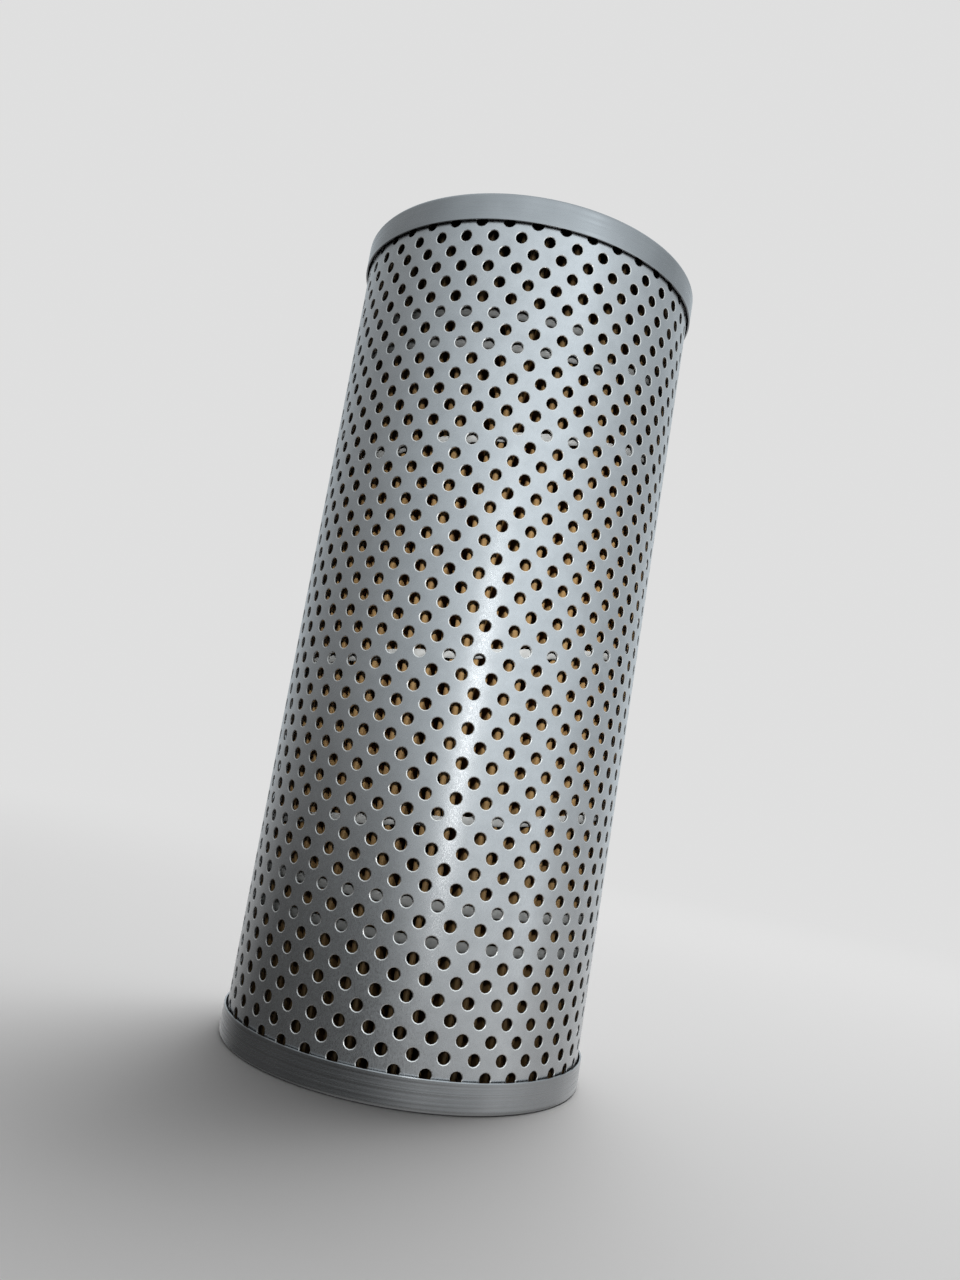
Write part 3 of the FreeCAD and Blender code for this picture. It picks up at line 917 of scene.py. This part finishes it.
def glow(azimuth, elevation, strength, tightness):
    """Brightness that is greatest towards one direction and falls off to nothing opposite it."""
    around, above = math.radians(azimuth), math.radians(elevation)
    facing = room.nodes.new("ShaderNodeVectorMath")
    facing.operation = "DOT_PRODUCT"
    room.links.new(direction, facing.inputs[0])
    facing.inputs[1].default_value = (math.sin(around) * math.cos(above),
                                      -math.cos(around) * math.cos(above), math.sin(above))
    share = room_math("MULTIPLY_ADD", facing.outputs["Value"], 0.5, 0.5)
    return room_math("MULTIPLY", room_math("POWER", share, tightness), strength)


def by_height(low, high, low_value, high_value):
    """A value that changes smoothly between two heights of the direction looked in."""
    split = room.nodes.new("ShaderNodeSeparateXYZ")
    room.links.new(direction, split.inputs["Vector"])
    step = room.nodes.new("ShaderNodeMapRange")
    step.interpolation_type = "SMOOTHSTEP"
    settings = {"From Min": low, "From Max": high, "To Min": low_value, "To Max": high_value}
    for name, value in settings.items():
        step.inputs[name].default_value = value
    room.links.new(split.outputs["Z"], step.inputs["Value"])
    return step.outputs["Result"]


window = glow(azimuth=14.5, elevation=-21.7, strength=1.354, tightness=2.32)
back_wall = glow(azimuth=170.8, elevation=3.8, strength=0.579, tightness=4.76)
dark_front = glow(azimuth=-12.0, elevation=-69.0, strength=-3.7, tightness=4.5)
ceiling = by_height(0.5, 0.95, low_value=0.26, high_value=0.60)
dim_left = glow(azimuth=-26.0, elevation=-10.0, strength=-0.17, tightness=22.0)
low_front = glow(azimuth=9.0, elevation=-18.0, strength=0.80, tightness=10.0)
dark_low = room_math("MULTIPLY", low_front, by_height(-0.34, -0.21, low_value=-1.0, high_value=0.0))
high_gleam = glow(azimuth=36.0, elevation=31.0, strength=0.42, tightness=220.0)
side_gleam = glow(azimuth=68.0, elevation=-6.0, strength=0.38, tightness=260.0)
glows = ceiling
for part in (window, back_wall, dark_front, dim_left, dark_low, high_gleam, side_gleam):
    glows = room_math("ADD", glows, part)
mirrored = room.nodes["Background"]
tint = room.nodes.new("ShaderNodeMix")
tint.data_type = "RGBA"
tint.inputs["A"].default_value = (1.0, 1.0, 1.0, 1)
tint.inputs["B"].default_value = (0.90, 0.985, 1.04, 1)
blue_share = room_math("MULTIPLY", by_height(-0.25, 0.15, low_value=0.1, high_value=1.0),
                       room_math("MULTIPLY", glows, 2.0))
room.links.new(blue_share, tint.inputs["Factor"])
room.links.new(tint.outputs["Result"], mirrored.inputs["Color"])
from_below = room_math("MAXIMUM", glow(azimuth=80.0, elevation=-55.0, strength=0.36, tightness=3.0), 0.07)
room.links.new(room_math("MAXIMUM", glows, from_below), mirrored.inputs["Strength"])
print(f"{world.name}: a room of {len(room.nodes)} nodes")

# %% [markdown]
# Each kind of ray meets its own surround. Metal mirrors the room, but not for light that has
# met something dull on its way: such light would come back out of the holes and fill them.
# Dull things are lit by a plain soft sky, brightest high behind, and the camera sees an even
# pale surround.

# %% Choose what each kind of ray meets
sky = room.nodes.new("ShaderNodeBackground")
room.links.new(glow(azimuth=180, elevation=55, strength=1.0, tightness=5.0), sky.inputs["Strength"])
surround = room.nodes.new("ShaderNodeBackground")
surround.inputs["Color"].default_value = (PALE, PALE, PALE, 1)
ray = room.nodes.new("ShaderNodeLightPath").outputs
nothing_dull_before = room_math("LESS_THAN", ray["Diffuse Depth"], 0.5)
mirrored_directly = room_math("MULTIPLY", ray["Is Glossy Ray"], nothing_dull_before)
lit_or_mirrored = room.nodes.new("ShaderNodeMixShader")
room.links.new(mirrored_directly, lit_or_mirrored.inputs["Fac"])
room.links.new(sky.outputs["Background"], lit_or_mirrored.inputs[1])
room.links.new(mirrored.outputs["Background"], lit_or_mirrored.inputs[2])
seen = room.nodes.new("ShaderNodeMixShader")
room.links.new(room_math("MAXIMUM", ray["Is Camera Ray"], ray["Is Transmission Ray"]), seen.inputs["Fac"])
room.links.new(lit_or_mirrored.outputs["Shader"], seen.inputs[1])
room.links.new(surround.outputs["Background"], seen.inputs[2])
room.links.new(seen.outputs["Shader"], room.nodes["World Output"].inputs["Surface"])
print(f"the camera sees a surround of {PALE}, the floor fades into it by {FADE_END} m")

# %% [markdown]
# Three lamps sharpen the light. A small spot above the camera shines down into the holes, so
# that each hole's upper edge shades the paper behind it. It is aimed at the tube's middle
# and leaves the highest and lowest holes dark, and it leaves out the floor, on which it
# would draw a pool of light. A large soft box high behind on the right gives the object its
# soft shadow on the table. The metal mirrors neither of them, only a narrow strip in front,
# which is the bright streak down the tube and lights nothing else. The soft lamps are given
# by brightness, which their size turns into power.

# %% Hang the lamps
def hang_lamp(lamp_data, place_at, aim_at):
    """Puts a lamp at a place and aims it at a point. Neither the camera nor the metal sees it."""
    lamp = bpy.data.objects.new(lamp_data.name, lamp_data)
    bpy.context.scene.collection.objects.link(lamp)
    lamp.location = place_at
    aim = Vector(aim_at) - lamp.location
    lamp.rotation_euler = aim.to_track_quat("-Z", "Y").to_euler()
    lamp.visible_camera = False
    lamp.visible_glossy = False
    print(f"{lamp.name}: {lamp_data.energy:.2f} W")
    return lamp


def soft_lamp(name, place_at, size, brightness):
    """A rectangular lamp aimed at the middle of the object, its width and height in metres."""
    lamp_data = bpy.data.lights.new(name, "AREA")
    lamp_data.shape = "RECTANGLE"
    lamp_data.size, lamp_data.size_y = size
    lamp_data.energy = brightness * math.pi * size[0] * size[1]
    return hang_lamp(lamp_data, place_at, (0, 0, ELEMENT_LENGTH / 2))


spot_data = bpy.data.lights.new("front_spot", "SPOT")
spot_data.energy = 36
spot_data.spot_size = math.radians(14.8)
spot_data.spot_blend = 1.0
spot_data.shadow_soft_size = 50 * MM
spot = hang_lamp(spot_data, place_at=(0.05, -0.80, 0.48), aim_at=(0.03, -0.058, 0.158))
left_out = bpy.data.collections.new("left_out_by_spot")
left_out.objects.link(floor)
left_out.collection_objects[0].light_linking.link_state = "EXCLUDE"
spot.light_linking.receiver_collection = left_out
soft_lamp("back_soft_box", place_at=(0.68, 1.28, 2.31), size=(2.0, 2.0), brightness=3.8)
strip_lamp = soft_lamp("strip_lamp", place_at=(0.16, -1.0, 0.155), size=(0.045, 0.42), brightness=4.9)
strip_lamp.visible_glossy = True
strip_lamp.visible_diffuse = False
